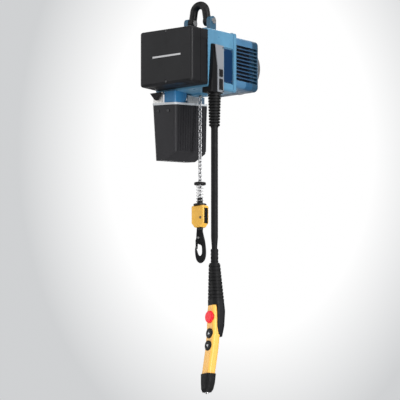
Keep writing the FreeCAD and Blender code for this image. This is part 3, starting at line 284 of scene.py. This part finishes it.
def circuit_board(name):
    """Lacquered board with a grid of tracks."""
    n = Nodes(name)
    tracks = n.add("ShaderNodeTexBrick")
    tracks.inputs["Scale"].default_value = 90.0
    tracks.inputs["Mortar Size"].default_value = 0.06
    n.link(n.place, tracks.inputs["Vector"])
    n.colour(n.mix(tracks.outputs["Fac"], (0.02, 0.13, 0.05), (0.08, 0.30, 0.12)))
    n.rough(n.span(n.noise(90.0), 0.3, 0.7, 0.18, 0.36))
    n.bump([(tracks.outputs["Fac"], 0.0001, 0.6)])
    return n.material


def winding(name, colour):
    """Lacquered copper wire over laminated steel."""
    n = Nodes(name)
    wave = n.add("ShaderNodeTexWave", bands_direction="Y")
    wave.inputs["Scale"].default_value = 260.0
    wave.inputs["Distortion"].default_value = 1.5
    n.link(n.place, wave.inputs["Vector"])
    n.colour(n.mix(wave.outputs["Fac"], shade(colour, 0.45), colour))
    n.value(Metallic=0.8)
    n.rough(n.span(n.noise(90.0), 0.3, 0.7, 0.3, 0.5))
    n.bump([(wave.outputs["Fac"], 0.0003, 0.5)])
    return n.material


def backdrop_material():
    """Glowing studio paper with a painted pool of light: white at the upper right, fading to
    painted shade in pale grey at the lower left.
    """
    n = Nodes("studio_paper_painted_glow")
    split = n.add("ShaderNodeSeparateXYZ")
    n.link(n.place, split.inputs[0])
    across, upward = [
        n.span(split.outputs[axis], middle - reach, middle + reach, -1.0, 1.0, False)
        for axis, middle, reach in zip("XY", GLOW_CENTRE, GLOW_REACH)]
    reach = n.combine("SQRT", n.combine("ADD", n.combine("MULTIPLY", across, across),
                                  n.combine("MULTIPLY", upward, upward)), 0.0)
    # painted pool of light: white near the glow centre, painted shade in grey further out
    tone = n.mix(n.span(reach, 1.0, 1.65), PAPER_LIT_WHITE, PAPER_SHADE_GREY)
    n.link(tone, n.shader.inputs["Emission Color"])
    n.value(Emission_Strength=1.0, Roughness=1.0, Specular_IOR_Level=0.0)
    n.shader.inputs["Base Color"].default_value = (0.0, 0.0, 0.0, 1.0)
    return n.material


BLUE = (0.085, 0.235, 0.370)
# Areas of another colour on one piece, most of them painted shade; each span is an axis and its two
# limits.
FIN_HEIGHTS = ("Z", -0.237, -0.119)
# painted shade: near-black insides of the grooves between the motor fins
SHADED_GROOVES = (FIN_HEIGHTS, ("|X|", 0.0785, 0.0905))
# fin tips a darker blue than the housing: partly the paint's tone, partly painted shade among the
# fins
FIN_TIPS = (FIN_HEIGHTS, ("|X|", 0.0905, 0.1))
# painted shade: a darker blue patch at the motor's lower rear corner
SHADED_MOTOR_FOOT = (("Z", -0.270, -0.237), ("Y", 0.130, 0.200))
# painted shade: the lugs at the top of the housing are a darker blue where shade falls
SHADED_LUGS = (("Z", -0.0865, 0.0),)
STRIPE = (("Y", -0.190, -0.183), ("X", -0.055, 0.062), ("Z", -0.188, -0.182))
LOOKS = {
    "cover": moulded("cover_plastic", (0.008, 0.008, 0.0095), 0.40, 0.56, shine=0.28,
                     zones=((STRIPE, (0.50, 0.50, 0.51)),)),
    "bucket": moulded("bucket_plastic", (0.016, 0.0155, 0.018), 0.46, 0.64, 1100.0, shine=0.32),
    "part": moulded("part_plastic", (0.005, 0.005, 0.006), 0.42, 0.60, shine=0.20),
    # blue casting paint, with painted shade on the lugs
    "blue": painted("blue_casting_paint_and_lug_shade", BLUE, zones=((SHADED_LUGS, (0.030, 0.095, 0.155)),)),
    "hanger": painted("blue_hanger_paint", (0.022, 0.165, 0.360)),
    # motor paint, with painted shade in the fin grooves, on the fin tips and at the lower rear
    "motor": painted("blue_motor_paint_and_shade", (0.060, 0.165, 0.290), coat=0.12, shine=0.3,
                     zones=((SHADED_GROOVES, (0.002, 0.007, 0.018)), (FIN_TIPS, (0.016, 0.060, 0.130)),
                            (SHADED_MOTOR_FOOT, (0.018, 0.085, 0.175)))),
    # painted shade: the side cover plate sits in a recess, and its near-black blue stands in for
    # the shade there
    "recess_shade": painted("recess_painted_shade_blue", (0.001, 0.022, 0.072), coat=0.0, shine=0.2),
    "teal": painted("teal_cap_paint", (0.010, 0.050, 0.095)),
    "post": painted("blue_grey_paint", (0.090, 0.150, 0.220)),
    "cowl": moulded("cowl_plastic", (0.110, 0.110, 0.113), 0.45, 0.62),
    "panel": moulded("panel_plastic", (0.215, 0.225, 0.245), 0.40, 0.55, spread=0.08),
    "rim": moulded("rim_plastic", (0.560, 0.580, 0.600), 0.35, 0.50, spread=0.08),
    "yellow": moulded("yellow_plastic", (0.900, 0.480, 0.080), 0.30, 0.44, 900.0, spread=0.10),
    "block": painted("yellow_block_paint", (0.950, 0.500, 0.070)),
    "red": moulded("red_plastic", (0.900, 0.008, 0.024), 0.30, 0.44, 900.0, spread=0.08, shine=0.3),
    "rubber": rubber("black_rubber", (0.0045, 0.0045, 0.005), (1.0, 1.0, 1.0)),
    "sheath": rubber("cable_sheath", (0.0038, 0.0038, 0.0042)),
    "gloss": moulded("connector_plastic", (0.010, 0.010, 0.010), 0.18, 0.32),
    "forged": forged("black_forged_steel", (0.014, 0.0135, 0.014)),
    "hook": forged("hook_steel", (0.012, 0.012, 0.013), 0.32, 0.55),
    "zinc": plated("zinc_plate", (0.66, 0.66, 0.66)),
    "chain": plated("chain_steel", (0.45, 0.45, 0.46), 0.22, 0.40),
    "screw": plated("blackened_screw", (0.12, 0.12, 0.125), 0.26, 0.44),
    "galvanised": plated("galvanised_sheet", (0.70, 0.69, 0.68), 0.34, 0.55),
    "ground": plated("ground_steel", (0.55, 0.55, 0.55), 0.14, 0.30, (12.0, 12.0, 1.0)),
    "aluminium": plated("machined_aluminium", (0.80, 0.80, 0.82), 0.26, 0.44),
    "board": circuit_board("board_lacquer"),
    "copper": winding("copper_winding", (0.62, 0.27, 0.10)),
}

NODE_LOOKS = {
    "cover": ("electrical_cover",),
    "bucket": ("chain_bucket",),
    "part": ("connection_box", "pendant_rear_shell", "up_button", "down_button", "button_collars",
             "block_side_panels", "contact_blocks", "wedge_bracket", "fan_wheel", "supply_gland"),
    "blue": ("gearbox_housing", "chain_guide"),
    "hanger": ("bucket_hanger_front",),
    "motor": ("motor_housing",),
    "recess_shade": ("side_cover_plate",),
    "teal": ("motor_end_cap",),
    "post": ("bucket_hanger_rear",),
    "cowl": ("fan_cowl",),
    "panel": ("service_panel",),
    "rim": ("bucket_rim",),
    "yellow": ("pendant_body",),
    "block": ("block_shell_front", "block_shell_rear"),
    "red": ("stop_button",),
    "rubber": ("cable_boot", "pendant_sleeve", "pendant_end_cap", "cover_gasket"),
    "gloss": ("plug_connectors",),
    "forged": ("suspension_bracket", "stop_plate", "block_collar", "chain_anchor_cone"),
    "hook": ("load_hook", "hook_latch"),
    "screw": ("cover_screws", "block_screws"),
    "zinc": ("latch_pin", "suspension_pins", "buffer_spring",
             "pendant_tip", "hook_nut"),
    "chain": ("load_chain", "chain_over_wheel", "stored_chain"),
    "galvanised": ("bracket_plates", "electrics_plate"),
    "ground": ("shaft_bearings", "thrust_bearing", "motor_rotor", "intermediate_gear",
               "output_gear", "pocket_wheel"),
    "aluminium": ("gearbox_bulkhead",),
    "board": ("control_board",),
    "copper": ("motor_stator", "control_transformer"),
    "sheath": ("control_cable",),
}


def dress_frame():
    """Gives every carried-over node its finish."""
    for look, names in NODE_LOOKS.items():
        for name in names:
            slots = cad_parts[name].data.materials
            slots.clear()
            slots.append(LOOKS[look])


# ---------------------------------------------------------------- added pieces
def mesh_object(name, bm, look):
    data = bpy.data.meshes.new(name)
    bm.normal_update()
    bm.to_mesh(data)
    bm.free()
    data.materials.append(LOOKS[look])
    piece = bpy.data.objects.new(name, data)
    SCENE.collection.objects.link(piece)
    return piece


def control_cable():
    """The straight cable between the boot and the pendant."""
    curve = bpy.data.curves.new("control_cable_curve", "CURVE")
    curve.dimensions = "3D"
    curve.bevel_depth = CABLE_RADIUS
    curve.bevel_resolution = 8
    curve.resolution_u = 12
    curve.use_fill_caps = True
    spline = curve.splines.new("NURBS")
    spline.points.add(len(CABLE) - 1)
    for point, place in zip(spline.points, CABLE):
        point.co = (*place, 1.0)
    spline.order_u = 3
    spline.use_endpoint_u = True
    curve.materials.append(LOOKS["sheath"])
    piece = bpy.data.objects.new("control_cable_sheath", curve)
    SCENE.collection.objects.link(piece)
    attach(piece, "hoist_body")
    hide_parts("control_cable")


def soft_plate(name, corners, normal, thickness, look, bevel):
    """A thin plate with rounded edges, from its outline in order and its outward normal."""
    bm = bmesh.new()
    lower = [bm.verts.new(corner) for corner in corners]
    face = bm.faces.new(lower)
    raised = bmesh.ops.extrude_face_region(bm, geom=[face])
    moved = [item for item in raised["geom"] if isinstance(item, bmesh.types.BMVert)]
    bmesh.ops.translate(bm, verts=moved, vec=Vector(normal) * thickness)
    bmesh.ops.recalc_face_normals(bm, faces=bm.faces)
    bmesh.ops.bevel(bm, geom=list(bm.edges), offset=bevel, segments=2, affect="EDGES",
                    profile=0.6)
    return mesh_object(name, bm, look)


def on_pendant(x, y, z):
    """A place given from the pendant's own axis, whose face looks a little to the right."""
    cos, sin = math.cos(PENDANT_YAW), math.sin(PENDANT_YAW)
    return CABLE[0][0] + x * cos - y * sin, CABLE[0][1] + x * sin + y * cos, z


def button_arrows():
    """A raised triangle on the up button and on the down button."""
    outward = Vector(on_pendant(0, -1, 0)) - Vector(on_pendant(0, 0, 0))
    for name, face, middle, way in ARROWS:
        corners = [on_pendant(x, face + ARROW_SINK, middle + way * z) for x, z in ARROW_OUTLINE]
        arrow = soft_plate(name + "_arrow", corners, outward, ARROW_THICKNESS, "rim", ARROW_BEVEL)
        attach(arrow, name + "_control")


# ---------------------------------------------------------------- studio
def stage_plane(name, size, place, turn, material):
    bm = bmesh.new()
    bmesh.ops.create_grid(bm, x_segments=4, y_segments=4, size=size / 2)
    data = bpy.data.meshes.new(name)
    bm.to_mesh(data)
    bm.free()
    data.materials.append(material)
    plane = bpy.data.objects.new(name, data)
    plane.location = place
    plane.rotation_euler = turn
    SCENE.collection.objects.link(plane)
    return plane


def view_direction():
    flat = math.cos(ELEVATION)
    return Vector((math.sin(AZIMUTH) * flat, -math.cos(AZIMUTH) * flat, math.sin(ELEVATION)))


def soft_light(name, azimuth, elevation, distance, size, power):
    """A softbox that faces the hoist's body from a given side."""
    a, e = math.radians(azimuth), math.radians(elevation)
    away = Vector((math.sin(a) * math.cos(e), -math.cos(a) * math.cos(e), math.sin(e)))
    data = bpy.data.lights.new(name, "AREA")
    data.shape = "RECTANGLE"
    data.size, data.size_y = size
    data.energy = power
    lamp = bpy.data.objects.new(name, data)
    lamp.location = LIGHT_AIM + away * distance
    lamp.rotation_mode = "QUATERNION"
    lamp.rotation_quaternion = away.to_track_quat("Z", "Y")
    SCENE.collection.objects.link(lamp)


def studio():
    back = view_direction()
    camera_data = bpy.data.cameras.new("camera")
    camera_data.sensor_width = 36.0
    camera_data.lens = 36.0 * CAMERA_DISTANCE / FRAME_HEIGHT
    camera_data.clip_end = 200.0
    camera = bpy.data.objects.new("camera", camera_data)
    camera.location = AIM + back * CAMERA_DISTANCE
    camera.rotation_mode = "QUATERNION"
    camera.rotation_quaternion = back.to_track_quat("Z", "Y")
    SCENE.collection.objects.link(camera)
    SCENE.camera = camera

    floor = moulded("studio_floor", (0.75, 0.75, 0.75), 0.7, 0.9, 20.0, spread=0.02)
    stage_plane("floor", 160.0, (0, 0, FLOOR_Z), (0, 0, 0), floor)
    paper = stage_plane("backdrop", 20.0, AIM - back * BACKDROP_DISTANCE, (0, 0, 0),
                        backdrop_material())
    paper.rotation_mode = "QUATERNION"
    paper.rotation_quaternion = back.to_track_quat("Z", "Y")

    for light in LIGHTS:
        soft_light(*light)

    world = bpy.data.worlds.new("studio_world")
    world.use_nodes = True
    world.node_tree.nodes["Background"].inputs["Color"].default_value = (0.80, 0.81, 0.82, 1.0)
    world.node_tree.nodes["Background"].inputs["Strength"].default_value = 0.34
    SCENE.world = world
    SCENE.view_settings.view_transform = "Standard"


def main():
    studio()
    dress_frame()
    control_cable()
    button_arrows()


main()
